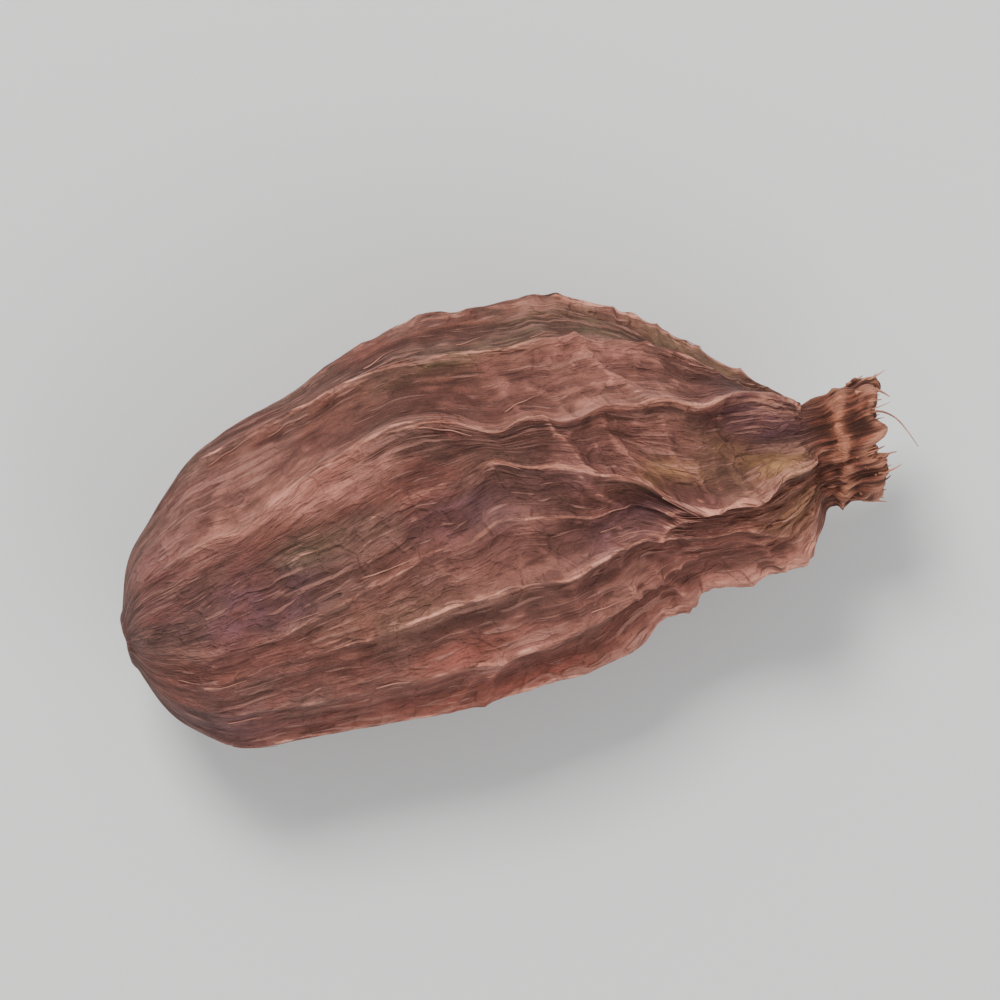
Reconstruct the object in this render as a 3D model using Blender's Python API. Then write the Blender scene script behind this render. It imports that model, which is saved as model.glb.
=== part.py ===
"""A dried black cardamom pod, lying on its side.

One husk: a rounded base with the scar of its stalk, a belly with ribs that turn wavy towards
the tip, a pinched neck, and the frayed, hollow stub of the flower that the fruit grew from.
+X runs from the base to the stub, +Y is the fuller flank and +Z is up. The origin is the
middle of the pod's footprint, on the surface that it rests on.
"""

import math
import random
from collections import namedtuple

import bpy
import numpy as np

MM = 0.001
TURN = 2 * math.pi

# Driving sizes
POD_LENGTH = 30.0 * MM
HALF_WIDTH = 7.0 * MM
HALF_HEIGHT = 6.2 * MM
RIB_HEIGHT = 0.62 * MM
RIB_SPREAD = 0.34 * MM
RIB_ROUNDING = 0.10 * MM
WRINKLE_SPREAD = 0.40 * MM
FURROW_SAG = 0.28 * MM
FLAT_SPOT_DEPTH = 0.32 * MM

# Mesh fineness. Rows crowd towards the crumpled tip, and columns towards the crests.
ROWS = 66
ROW_CROWDING = 0.35
COLUMNS_A_RIB = 6
COLUMN_CROWDING = 0.05

# Half of the outline from the base scar to the bottom of the stub's hollow, in shares of the
# pod's length and of its half width
OUTLINE = [
    (0.010, 0.00), (0.000, 0.13), (0.008, 0.27), (0.024, 0.43), (0.070, 0.63), (0.118, 0.76),
    (0.183, 0.83), (0.297, 0.90), (0.360, 0.96), (0.447, 1.00), (0.547, 0.97), (0.610, 0.92),
    (0.677, 0.79), (0.763, 0.65), (0.833, 0.51), (0.880, 0.38), (0.905, 0.29), (0.930, 0.27),
    (0.965, 0.29), (0.988, 0.31), (0.990, 0.26), (0.965, 0.19), (0.948, 0.10), (0.945, 0.00),
]
# The outline point at which the rim of the stub's hollow stands
RIM_POINT = 19
# The husk is a little three-sided: how much, and the angle of one of its sides in degrees
LOBE_SHARE, LOBE_ANGLE = 0.03, 75
# Round swellings all over the husk: their height, the length that one twists over, and how
# many go round the pod
SWELL_HEIGHT = 0.055 * MM
SWELL_LENGTH = 12.0 * MM
SWELL_TURNS = (1, 2, 3, 4)
# The stub's rim is torn, and slants so that it stands further out on the +Y side
TORN_HEIGHT = 0.14 * MM
TORN_TURNS = (4, 7, 11)
TORN_REACH = 0.9 * MM
RIM_SLANT = 0.45 * MM
# How far inside the rim the ribs fade out
RIM_FADE = 0.6 * MM

# How far the middle line of the pod lies off a straight axis, in metres, by share of the length
BEND_STATIONS = [0.00, 0.08, 0.15, 0.29, 0.43, 0.57, 0.66, 0.71, 0.78, 0.85, 0.92, 1.00]
BEND_SIDEWAYS = [MM * y for y in (-0.2, -0.16, 0.42, 0.96, 1.48, 1.6, 1.9, 1.84, 1.0, -0.1, 0.0, 0.1)]
BEND_UPWARDS = [MM * z for z in (0.0, 0.0, 0.0, 0.0, 0.0, 0.1, 0.2, 0.3, 0.4, 0.5, 0.6, 0.6)]

# A rib has its angle round the pod at ANGLE_STATIONS, shares of the length, in degrees from +Y
# over the top, and its height in shares of RIB_HEIGHT at HEIGHT_STATIONS. lean is how far its
# crest leans towards the next rib, in shares of its height, and wavy how much the crest winds.
Rib = namedtuple("Rib", "angles heights lean wavy")
ANGLE_STATIONS = [0.05, 0.18, 0.30, 0.42, 0.54, 0.66, 0.76, 0.86]
HEIGHT_STATIONS = [0.10, 0.30, 0.50, 0.70, 0.86]
UPPER_RIBS = [
    Rib((-14, -8, -2, 3, 6, 5, 0, -6), (0.3, 0.5, 0.7, 0.9, 0.8), 0.0, 0.4),
    Rib((8, 25, 29, 35, 41, 43, 42, 20), (0.4, 0.6, 0.5, 0.5, 0.7), 0.2, 0.6),
    Rib((60, 70, 62, 63, 70, 73, 66, 42), (0.5, 0.8, 0.7, 1.4, 1.3), 0.6, 1.0),
    Rib((86, 87, 85, 83, 82, 99, 115, 95), (0.1, 0.2, 0.4, 1.2, 1.4), 0.4, 1.0),
    Rib((106, 111, 107, 102, 101, 113, 126, 109), (0.2, 0.4, 0.4, 0.3, 0.4), 0.1, 0.6),
    Rib((122, 122, 123, 121, 122, 128, 137, 123), (0.3, 0.5, 0.7, 0.6, 0.4), 0.2, 0.6),
    Rib((142, 144, 146, 147, 149, 150, 149, 137), (0.2, 0.3, 0.4, 0.4, 0.3), 0.1, 0.6),
    Rib((162, 168, 170, 171, 173, 173, 164, 152), (0.5, 0.6, 0.8, 1.5, 1.4), 0.6, 0.4),
]
# The ribs of the underside are spread over the rest of the turn, and rise towards the tip
LOWER_RIB_COUNT = 7
LOWER_RIB_ANGLES = (188, 326)
LOWER_RIB_SCATTER = 3.5
LOWER_RIB_LEAN = 0.4
# The waves of the ribs: their lengths, and how far they sway a crest sideways, in degrees, and
# vary its height, each at the base and at the tip
SWAY_LENGTHS = (6.7 * MM, 4.3 * MM, 2.6 * MM)
SWAY_ANGLES = (0.9, 3.7)
RAGGED_LENGTHS = (3.7 * MM, 2.3 * MM)
RAGGED_SHARES = (0.08, 0.30)
SEED = 11

# Cross wrinkles that run from one rib to the next: the rib, the share of the length where the
# wrinkle leaves it, the share where it meets the next rib, and its height in shares of RIB_HEIGHT
WRINKLES = [
    (1, 0.64, 0.71, 0.5), (2, 0.58, 0.62, 0.6), (2, 0.64, 0.69, 0.5), (3, 0.60, 0.66, 0.4),
    (3, 0.735, 0.70, 0.9), (4, 0.72, 0.68, 0.8), (5, 0.80, 0.84, 0.5), (6, 0.66, 0.70, 0.4),
    (9, 0.60, 0.66, 0.6), (11, 0.70, 0.66, 0.6), (13, 0.62, 0.66, 0.6),
]

# Hollows where the husk has sunk in: share of the length, angle, half length in metres, half
# width in degrees, and depth in metres
HOLLOWS = [
    (0.82, 72, 2.1 * MM, 18, 0.65 * MM), (0.645, 112, 2.4 * MM, 11, 0.55 * MM),
    (0.79, 22, 2.0 * MM, 12, 0.45 * MM), (0.70, 87, 2.2 * MM, 10, 0.20 * MM),
    (0.30, 93, 7.0 * MM, 13, 0.22 * MM), (0.66, 240, 3.0 * MM, 14, 0.45 * MM),
    (0.74, 300, 2.6 * MM, 14, 0.50 * MM), (0.45, 332, 4.0 * MM, 12, 0.30 * MM),
]
# The ribs are worn down on the lowest side: share of the length, angle, half length in metres,
# half width in degrees, and how much of their height is gone
WORN_SPOT = (0.42, 270, 6.0 * MM, 20, 0.75)


def smooth_step(low, high, at):
    """0 below low and 1 above high, with a soft rise between them."""
    t = np.clip((at - low) / (high - low), 0.0, 1.0)
    return t * t * (3.0 - 2.0 * t)


def blend(ends, share):
    return ends[0] + (ends[1] - ends[0]) * share


def smooth_curve(stations, values, at):
    """A smooth curve through the values at the stations, read at the given places."""
    stations = np.asarray(stations, float)
    values = np.asarray(values, float)
    slopes = np.gradient(values, stations)
    at = np.clip(at, stations[0], stations[-1])
    span = np.clip(np.searchsorted(stations, at) - 1, 0, len(stations) - 2)
    width = stations[span + 1] - stations[span]
    t = (at - stations[span]) / width
    rise = values[span + 1] - values[span]
    start = slopes[span] * width - rise
    end = rise - slopes[span + 1] * width
    return values[span] + rise * t + t * (1 - t) * (start * (1 - t) + end * t)


def wave(draw, lengths, at):
    """A sum of sines of the given wavelengths, between -1 and 1, with seeded phases."""
    phases = [draw.uniform(0, TURN) for _ in lengths]
    return sum(np.sin(TURN * at / length + phase) for length, phase in zip(lengths, phases)) / len(lengths)


def spot(share, angle, middle, around, half_length, half_width):
    """1 in the middle of a round spot on the husk, falling to 0 about it."""
    aside = (np.degrees(angle) - around + 180.0) % 360.0 - 180.0
    off = np.hypot((share - middle) * POD_LENGTH / half_length, aside / half_width)
    return np.exp(-(off**2))


def outline_rows(rows):
    """Along and out, in metres, at every row, with the outward normals and the way from the rim."""
    along = np.array([point[0] for point in OUTLINE]) * POD_LENGTH
    out = np.array([point[1] for point in OUTLINE]) * HALF_WIDTH
    travelled = np.concatenate([[0.0], np.cumsum(np.hypot(np.diff(along), np.diff(out)))])
    at = np.linspace(0.0, 1.0, rows)
    at = (at + ROW_CROWDING * (1.0 - np.cos(TURN * at)) / TURN) * travelled[-1]
    along = smooth_curve(travelled, along, at)
    out = np.maximum(smooth_curve(travelled, out, at), 0.0)
    slope_along, slope_out = np.gradient(along), np.gradient(out)
    length = np.hypot(slope_along, slope_out)
    return along, out, -slope_out / length, slope_along / length, at - travelled[RIM_POINT]


def all_ribs(draw):
    first, last = LOWER_RIB_ANGLES
    ribs = list(UPPER_RIBS)
    for k in range(LOWER_RIB_COUNT):
        middle = first + (last - first) * k / (LOWER_RIB_COUNT - 1)
        angles = [middle + draw.uniform(-1, 1) * LOWER_RIB_SCATTER for _ in ANGLE_STATIONS]
        heights = [draw.uniform(0.2, 0.5) + 0.8 * station for station in HEIGHT_STATIONS]
        ribs.append(Rib(angles, heights, draw.uniform(-1, 1) * LOWER_RIB_LEAN, 1.0))
    return ribs


def rib_tracks(share, along):
    """Angle, height and lean of every rib at every row, as three arrays of ribs by rows."""
    draw = random.Random(SEED)
    ribs = all_ribs(draw)
    to_tip = smooth_step(0.35, 0.70, share)
    on_stub = smooth_step(0.84, 0.93, share)
    rise = smooth_step(0.02, 0.16, share) * (1.0 - 0.8 * on_stub)
    sway = blend(SWAY_ANGLES, to_tip) * (1.0 - 0.6 * on_stub)
    ragged = blend(RAGGED_SHARES, to_tip)
    found = []
    for rib in ribs:
        angle = smooth_curve(ANGLE_STATIONS, rib.angles, share)
        angle = angle + rib.wavy * sway * wave(draw, SWAY_LENGTHS, along)
        height = smooth_curve(HEIGHT_STATIONS, rib.heights, share) * RIB_HEIGHT * rise
        height = height * (1.0 + rib.wavy * ragged * wave(draw, RAGGED_LENGTHS, along))
        found.append((np.radians(angle), height, rib.lean * to_tip * (1.0 - on_stub)))
    return [np.array(part) for part in zip(*found)]


def between_ribs(rib, part, gap, share, out, heights, leans):
    """Height over the plain husk, and lean, of the rows a part of the way to the next rib."""
    width = gap * np.maximum(out, RIM_FADE)
    relief, lean = 0.0, 0.0
    for crest, off in ((rib, part * width), ((rib + 1) % len(heights), (1.0 - part) * width)):
        off = np.hypot(off, RIB_ROUNDING) - RIB_ROUNDING
        raised = heights[crest] * np.exp(-off / RIB_SPREAD)
        relief = relief + raised
        lean = lean + raised * leans[crest]
    # A furrow sags less where the ribs stand close, and near the base
    sag = FURROW_SAG * math.sin(math.pi * part) * smooth_step(0.05, 0.75, share)
    return relief - sag * smooth_step(0.8 * MM, 2.8 * MM, width), lean


def cross_wrinkles(rib, part, share):
    relief = 0.0
    for owner, leaves, meets, height in WRINKLES:
        if owner == rib:
            off = (share - blend((leaves, meets), part)) * POD_LENGTH
            off = np.hypot(off, RIB_ROUNDING) - RIB_ROUNDING
            relief = relief + height * RIB_HEIGHT * np.exp(-off / WRINKLE_SPREAD)
    return relief


def husk_points(rows, columns_a_rib):
    """The husk's surface as an array of rows by columns by three, in metres."""
    along, out, normal_along, normal_out, from_rim = outline_rows(rows)
    share = along / POD_LENGTH
    angles, heights, leans = rib_tracks(share, along)
    draw = random.Random(SEED + 1)
    swells = [(turns, draw.uniform(0, TURN), draw.uniform(-0.5, 0.5)) for turns in SWELL_TURNS]
    tears = [(turns, draw.uniform(0, TURN)) for turns in TORN_TURNS]
    outside = 1.0 - smooth_step(0.0, RIM_FADE, from_rim)
    off_base = smooth_step(0.02, 0.2, share)
    to_rim = np.exp(-((from_rim / TORN_REACH) ** 2))
    on_stub = smooth_step(0.90, 0.97, share)
    points = np.zeros((rows, len(angles) * columns_a_rib, 3))
    for column in range(points.shape[1]):
        rib, step = divmod(column, columns_a_rib)
        part = step / columns_a_rib
        part = part - COLUMN_CROWDING * math.sin(TURN * part)
        gap = (angles[(rib + 1) % len(angles)] - angles[rib]) % TURN
        angle = angles[rib] + gap * part
        relief, lean = between_ribs(rib, part, gap, share, out, heights, leans)
        relief = relief * (1.0 - WORN_SPOT[4] * spot(share, angle, *WORN_SPOT[:4]))
        relief = relief + cross_wrinkles(rib, part, share)
        for turns, phase, twist in swells:
            swell = np.sin(turns * angle + phase + TURN * twist * along / SWELL_LENGTH)
            relief = relief + SWELL_HEIGHT * swell * off_base
        for *place, depth in HOLLOWS:
            relief = relief - depth * spot(share, angle, *place)
        relief, lean = relief * outside, lean * outside
        torn = sum(np.sin(turns * angle + phase) for turns, phase in tears)
        slant = RIM_SLANT * np.cos(angle) * on_stub
        wide = out * (1.0 + LOBE_SHARE * np.cos(3 * (angle - math.radians(LOBE_ANGLE))))
        high = wide * HALF_HEIGHT / HALF_WIDTH
        cosine, sine = np.cos(angle), np.sin(angle)
        points[:, column, 0] = along + relief * normal_along + TORN_HEIGHT * torn * to_rim + slant
        points[:, column, 1] = cosine * (wide + relief * normal_out) - sine * lean
        points[:, column, 2] = sine * (high + relief * normal_out) + cosine * lean
    points[:, :, 1] += smooth_curve(BEND_STATIONS, BEND_SIDEWAYS, share)[:, None]
    points[:, :, 2] += smooth_curve(BEND_STATIONS, BEND_UPWARDS, share)[:, None]
    return points


def rested(points):
    """The points with their lowest side pressed flat, moved to stand on the origin."""
    floor = points[:, :, 2].min() + FLAT_SPOT_DEPTH
    points[:, :, 2] = np.maximum(points[:, :, 2], floor)
    low, high = points.min(axis=(0, 1)), points.max(axis=(0, 1))
    return points - [(low[0] + high[0]) / 2, (low[1] + high[1]) / 2, low[2]]


def closed_mesh(name, points):
    """A mesh with a face between neighbouring rows and columns and one vertex at each end."""
    rows, columns = points.shape[:2]
    first, last = points[0].mean(axis=0), points[-1].mean(axis=0)
    vertices = [first, *points[1:-1].reshape(-1, 3), last]
    end = len(vertices) - 1
    faces = []
    for column in range(columns):
        beside = (column + 1) % columns
        faces.append((0, 1 + beside, 1 + column))
        for row in range(rows - 3):
            here = 1 + row * columns
            ahead = here + columns
            faces.append((here + column, here + beside, ahead + beside, ahead + column))
        here = 1 + (rows - 3) * columns
        faces.append((here + column, here + beside, end))
    mesh = bpy.data.meshes.new(name)
    mesh.from_pydata([tuple(vertex) for vertex in vertices], [], faces)
    mesh.validate()
    return mesh


def husk_material():
    """Dull red-brown, the colour of the smoked and dried husk."""
    material = bpy.data.materials.new("dried_husk")
    material.use_nodes = True
    surface = material.node_tree.nodes["Principled BSDF"]
    surface.inputs["Base Color"].default_value = (0.19, 0.085, 0.060, 1.0)
    surface.inputs["Roughness"].default_value = 0.72
    surface.inputs["Metallic"].default_value = 0.0
    return material


def build_pod():
    mesh = closed_mesh("pod", rested(husk_points(ROWS, COLUMNS_A_RIB)))
    mesh.materials.append(husk_material())
    mesh.shade_smooth()
    pod = bpy.data.objects.new("pod", mesh)
    bpy.context.scene.collection.objects.link(pod)
    return pod


def main():
    for obj in list(bpy.data.objects):
        bpy.data.objects.remove(obj)
    build_pod()


main()
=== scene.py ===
"""The dried cardamom pod with its finished surface: fibres, wrinkles, crests pale from wear and a painted
highlight, painted shade in its hollows, and frayed stub.
"""

import itertools
import math
import random
from collections import namedtuple

import bpy
import numpy as np
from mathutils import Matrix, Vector


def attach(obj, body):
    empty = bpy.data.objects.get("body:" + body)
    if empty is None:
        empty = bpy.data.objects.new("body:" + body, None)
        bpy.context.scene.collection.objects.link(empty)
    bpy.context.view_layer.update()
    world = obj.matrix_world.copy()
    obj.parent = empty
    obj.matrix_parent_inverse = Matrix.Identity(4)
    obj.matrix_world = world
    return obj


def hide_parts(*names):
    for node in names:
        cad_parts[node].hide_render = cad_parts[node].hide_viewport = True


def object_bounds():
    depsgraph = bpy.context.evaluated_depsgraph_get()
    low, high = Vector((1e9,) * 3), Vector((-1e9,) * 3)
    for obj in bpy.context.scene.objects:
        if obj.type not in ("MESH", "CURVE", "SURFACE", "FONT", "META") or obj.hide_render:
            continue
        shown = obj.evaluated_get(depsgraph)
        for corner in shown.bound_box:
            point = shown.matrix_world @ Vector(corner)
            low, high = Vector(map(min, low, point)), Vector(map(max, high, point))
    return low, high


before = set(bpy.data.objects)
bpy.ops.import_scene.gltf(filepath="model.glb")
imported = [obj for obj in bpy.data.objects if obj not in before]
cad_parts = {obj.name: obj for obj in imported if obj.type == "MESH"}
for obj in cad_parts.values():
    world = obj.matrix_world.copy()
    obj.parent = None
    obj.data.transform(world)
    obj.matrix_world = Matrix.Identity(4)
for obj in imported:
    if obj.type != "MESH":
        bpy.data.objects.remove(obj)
cad_low, cad_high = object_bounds()

MM = 0.001
TURN = 2 * math.pi

# The camera looks straight down, turned so that the pod rises to the right, and frames it closely
PHOTO_TILT = math.radians(15)
CAMERA_HEIGHT = 0.26
FRAME_WIDTH = 0.0385

# The husk's form, as its solid has it
POD_LENGTH = 30.0 * MM
HALF_WIDTH = 7.0 * MM
HALF_HEIGHT = 6.2 * MM
RIB_HEIGHT = 0.62 * MM
RIB_SPREAD = 0.34 * MM
RIB_ROUNDING = 0.10 * MM
WRINKLE_SPREAD = 0.40 * MM
FURROW_SAG = 0.28 * MM
FLAT_SPOT_DEPTH = 0.32 * MM
ROWS = 66
ROW_CROWDING = 0.35
COLUMNS_A_RIB = 6
COLUMN_CROWDING = 0.05
OUTLINE = [
    (0.010, 0.00), (0.000, 0.13), (0.008, 0.27), (0.024, 0.43), (0.070, 0.63), (0.118, 0.76),
    (0.183, 0.83), (0.297, 0.90), (0.360, 0.96), (0.447, 1.00), (0.547, 0.97), (0.610, 0.92),
    (0.677, 0.79), (0.763, 0.65), (0.833, 0.51), (0.880, 0.38), (0.905, 0.29), (0.930, 0.27),
    (0.965, 0.29), (0.988, 0.31), (0.990, 0.26), (0.965, 0.19), (0.948, 0.10), (0.945, 0.00),
]
RIM_POINT = 19
LOBE_SHARE, LOBE_ANGLE = 0.03, 75
SWELL_HEIGHT = 0.055 * MM
SWELL_LENGTH = 12.0 * MM
SWELL_TURNS = (1, 2, 3, 4)
TORN_HEIGHT = 0.14 * MM
TORN_TURNS = (4, 7, 11)
TORN_REACH = 0.9 * MM
RIM_SLANT = 0.45 * MM
RIM_FADE = 0.6 * MM
BEND_STATIONS = [0.00, 0.08, 0.15, 0.29, 0.43, 0.57, 0.66, 0.71, 0.78, 0.85, 0.92, 1.00]
BEND_SIDEWAYS = [MM * y for y in (-0.2, -0.16, 0.42, 0.96, 1.48, 1.6, 1.9, 1.84, 1.0, -0.1, 0.0, 0.1)]
BEND_UPWARDS = [MM * z for z in (0.0, 0.0, 0.0, 0.0, 0.0, 0.1, 0.2, 0.3, 0.4, 0.5, 0.6, 0.6)]
Rib = namedtuple("Rib", "angles heights lean wavy")
ANGLE_STATIONS = [0.05, 0.18, 0.30, 0.42, 0.54, 0.66, 0.76, 0.86]
HEIGHT_STATIONS = [0.10, 0.30, 0.50, 0.70, 0.86]
UPPER_RIBS = [
    Rib((-14, -8, -2, 3, 6, 5, 0, -6), (0.3, 0.5, 0.7, 0.9, 0.8), 0.0, 0.4),
    Rib((8, 25, 29, 35, 41, 43, 42, 20), (0.4, 0.6, 0.5, 0.5, 0.7), 0.2, 0.6),
    Rib((60, 70, 62, 63, 70, 73, 66, 42), (0.5, 0.8, 0.7, 1.4, 1.3), 0.6, 1.0),
    Rib((86, 87, 85, 83, 82, 99, 115, 95), (0.1, 0.2, 0.4, 1.2, 1.4), 0.4, 1.0),
    Rib((106, 111, 107, 102, 101, 113, 126, 109), (0.2, 0.4, 0.4, 0.3, 0.4), 0.1, 0.6),
    Rib((122, 122, 123, 121, 122, 128, 137, 123), (0.3, 0.5, 0.7, 0.6, 0.4), 0.2, 0.6),
    Rib((142, 144, 146, 147, 149, 150, 149, 137), (0.2, 0.3, 0.4, 0.4, 0.3), 0.1, 0.6),
    Rib((162, 168, 170, 171, 173, 173, 164, 152), (0.5, 0.6, 0.8, 1.5, 1.4), 0.6, 0.4),
]
LOWER_RIB_COUNT = 7
LOWER_RIB_ANGLES = (188, 326)
LOWER_RIB_SCATTER = 3.5
LOWER_RIB_LEAN = 0.4
SWAY_LENGTHS = (6.7 * MM, 4.3 * MM, 2.6 * MM)
SWAY_ANGLES = (0.9, 3.7)
RAGGED_LENGTHS = (3.7 * MM, 2.3 * MM)
RAGGED_SHARES = (0.08, 0.30)
SEED = 11
WRINKLES = [
    (1, 0.64, 0.71, 0.5), (2, 0.58, 0.62, 0.6), (2, 0.64, 0.69, 0.5), (3, 0.60, 0.66, 0.4),
    (3, 0.735, 0.70, 0.9), (4, 0.72, 0.68, 0.8), (5, 0.80, 0.84, 0.5), (6, 0.66, 0.70, 0.4),
    (9, 0.60, 0.66, 0.6), (11, 0.70, 0.66, 0.6), (13, 0.62, 0.66, 0.6),
]
HOLLOWS = [
    (0.82, 72, 2.1 * MM, 18, 0.65 * MM), (0.645, 112, 2.4 * MM, 11, 0.55 * MM),
    (0.79, 22, 2.0 * MM, 12, 0.45 * MM), (0.70, 87, 2.2 * MM, 10, 0.20 * MM),
    (0.30, 93, 7.0 * MM, 13, 0.22 * MM), (0.66, 240, 3.0 * MM, 14, 0.45 * MM),
    (0.74, 300, 2.6 * MM, 14, 0.50 * MM), (0.45, 332, 4.0 * MM, 12, 0.30 * MM),
]
WORN_SPOT = (0.42, 270, 6.0 * MM, 20, 0.75)

# The fine skin's mesh
FINE_ROWS = 318
FINE_COLUMNS_A_RIB = 20
BELLY_ROUND = TURN * 6.8 * MM
# Low relief of the skin: height, then the size of one wrinkle across and along the fibres
VEINS = (0.125 * MM, 1.25 * MM, 8.0 * MM)
FIBRES = (0.070 * MM, 0.62 * MM, 4.5 * MM)
THREADS = (0.030 * MM, 0.34 * MM, 2.6 * MM)
PUCKERS = (0.050 * MM, 0.90 * MM, 0.80 * MM)
CRUMPLES = (0.160 * MM, 1.90 * MM, 1.30 * MM)
DENTS = (0.150 * MM, 3.40 * MM, 4.60 * MM)
PITS = (0.170 * MM, 0.80 * MM, 1.10 * MM)
EDGE_FRAYS = (0.065 * MM, 0.40 * MM, 0.70 * MM)
STUB_FIBRES = (0.200 * MM, 2.60 * MM, 4.0 * MM)
STUB_THREADS = (0.080 * MM, 1.10 * MM, 2.0 * MM)
# How far the fibres wander to the side and lengthwise, and the size of one swing
WANDER = (0.42 * MM, 0.90 * MM, 2.8 * MM, 5.5 * MM)
CREST_STRAY = 0.10 * MM
FINE_CROWDING = 0.085
FINE_ROUNDING = 0.05 * MM
CREST_NICKS = 0.12
CREST_RUNS = (2.1 * MM, 0.8 * MM)
EDGE_WIDTH = 0.105 * MM
# The painted shadow under a leaning crest: how far beside the crest it lies, and half its width
FOLD_SHADOW_LINE = (0.32 * MM, 0.16 * MM)
RIM_LINE = (0.08 * MM, 0.17 * MM)
SMALL_WRINKLES = 34
RIM_SHREDS = 0.30 * MM
NECK_GROOVE = (0.905, 0.35 * MM, 0.16 * MM)
NECK_WANDER = 0.010
# The knotty ring round the stub: share of the length, half width, height, and how far it wanders
# in long swings and in short ones
STUB_RING = (0.950, 0.25 * MM, 0.26 * MM, 0.016, 0.010)
SCAR_RADIUS = 1.2 * MM
SCAR_RING = (0.95 * MM, 0.20 * MM, 0.16 * MM)
SCAR_PIT = (0.35 * MM, 0.16 * MM)

# Soft patches of other tones: share of the length, angle round the pod, half its length, half its width, strength.
# Most are the pod's own mottling, but some are painted light: lighter orange, rosy and red patches lift places
# that the lamps leave in shade, orange patches along the lowest edge and an ochre one above a crest near the tip
# are painted highlights, and an olive patch near the tip end is painted shade
TONE_AND_LIGHT_PATCHES = {
    "olive": [
        (0.70, 22, 4.2 * MM, 13, 1.0), (0.50, 36, 3.6 * MM, 10, 0.8), (0.24, 86, 1.6 * MM, 7, 1.0),
        (0.36, 117, 3.0 * MM, 10, 0.5), (0.77, 84, 1.8 * MM, 11, 0.6), (0.30, 215, 4.0 * MM, 14, 0.7),
        (0.57, 160, 1.5 * MM, 7, 0.9), (0.80, 0, 2.4 * MM, 16, 0.9), (0.62, 286, 3.4 * MM, 12, 0.8),
        (0.20, 330, 3.0 * MM, 14, 0.5),
    ],
    "purple": [
        (0.85, 62, 1.9 * MM, 19, 1.0), (0.46, 94, 1.7 * MM, 7, 1.0), (0.18, 96, 2.4 * MM, 13, 0.9),
        (0.66, 118, 2.0 * MM, 9, 0.8), (0.60, 92, 1.6 * MM, 8, 0.4), (0.10, 150, 2.4 * MM, 20, 0.5),
        (0.07, 60, 2.4 * MM, 30, 0.40),
        (0.46, 232, 3.4 * MM, 11, 0.8), (0.78, 262, 2.2 * MM, 16, 0.8), (0.30, 304, 3.0 * MM, 12, 0.6),
    ],
    "ochre": [
        (0.850, 86, 1.5 * MM, 12, 1.0), (0.72, 102, 1.6 * MM, 5, 0.7), (0.86, 128, 1.4 * MM, 14, 0.6),
        (0.80, 236, 2.0 * MM, 16, 0.7), (0.50, 330, 2.6 * MM, 10, 0.5),
    ],
    "rosy": [
        (0.50, 110, 5.4 * MM, 14, 1.0), (0.71, 138, 3.4 * MM, 16, 0.9), (0.66, 86, 2.6 * MM, 9, 1.0),
        (0.65, 57, 3.2 * MM, 13, 1.0), (0.50, 134, 3.2 * MM, 7, 0.5),
        (0.20, 130, 4.0 * MM, 14, 0.2), (0.60, 210, 4.0 * MM, 16, 0.5), (0.76, 350, 3.0 * MM, 12, 0.5),
    ],
    "red": [
        (0.57, 166, 4.6 * MM, 12, 1.0), (0.34, 168, 4.0 * MM, 11, 0.8), (0.12, 62, 2.0 * MM, 16, 0.6),
        (0.64, 132, 2.0 * MM, 8, 0.6), (0.80, 148, 2.2 * MM, 14, 0.7), (0.44, 250, 4.0 * MM, 14, 0.7),
        (0.70, 310, 3.4 * MM, 13, 0.7), (0.22, 286, 3.0 * MM, 16, 0.6), (0.385, 142, 2.4 * MM, 7, 0.7),
        (0.455, 143, 1.8 * MM, 6, 0.5),
    ],
    "orange": [
        (0.685, 83, 2.4 * MM, 9, 0.8), (0.21, 66, 3.4 * MM, 8, 0.7), (0.356, 69, 0.8 * MM, 5, 1.4),
        (0.650, 57, 3.0 * MM, 12, 1.0), (0.24, 52, 3.2 * MM, 12, 0.5), (0.73, 84, 1.3 * MM, 7, 0.5),
        (0.52, 150, 4.2 * MM, 9, 0.4),
        (0.66, 178, 2.4 * MM, 7, 0.8), (0.30, 178, 4.0 * MM, 7, 0.6), (0.11, 42, 2.4 * MM, 22, 0.3),
        (0.79, 166, 2.6 * MM, 8, 0.9), (0.334, 73, 0.6 * MM, 4, 1.2), (0.283, 70, 2.2 * MM, 4, 0.9),
        (0.705, 53, 1.8 * MM, 9, 1.0),
        (0.84, 140, 1.8 * MM, 22, 0.5), (0.40, 258, 4.0 * MM, 12, 0.6),
        (0.68, 322, 3.0 * MM, 12, 0.8), (0.14, 244, 3.0 * MM, 18, 0.5),
    ],
}

FRAY_CLUMPS = 17
STRAY_FIBRE = [(0.0, 0.0, 0.0), (0.5, -0.1, 0.35), (0.95, -0.5, 0.5), (1.25, -1.1, 0.45), (1.5, -1.75, 0.2)]
STRAY_ANGLE = 68
SLIVER_COUNT = 90


# The form of the husk

def smooth_step(low, high, at):
    """0 below low and 1 above high, with a soft rise between them."""
    t = np.clip((at - low) / (high - low), 0.0, 1.0)
    return t * t * (3.0 - 2.0 * t)


def blend(ends, share):
    return ends[0] + (ends[1] - ends[0]) * share


def smooth_curve(stations, values, at):
    """A smooth curve through the values at the stations, read at the given places."""
    stations = np.asarray(stations, float)
    values = np.asarray(values, float)
    slopes = np.gradient(values, stations)
    at = np.clip(at, stations[0], stations[-1])
    span = np.clip(np.searchsorted(stations, at) - 1, 0, len(stations) - 2)
    width = stations[span + 1] - stations[span]
    t = (at - stations[span]) / width
    rise = values[span + 1] - values[span]
    start = slopes[span] * width - rise
    end = rise - slopes[span + 1] * width
    return values[span] + rise * t + t * (1 - t) * (start * (1 - t) + end * t)


def wave(draw, lengths, at):
    """A sum of sines of the given wavelengths, between -1 and 1, with seeded phases."""
    phases = [draw.uniform(0, TURN) for _ in lengths]
    return sum(np.sin(TURN * at / length + phase) for length, phase in zip(lengths, phases)) / len(lengths)


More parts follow.
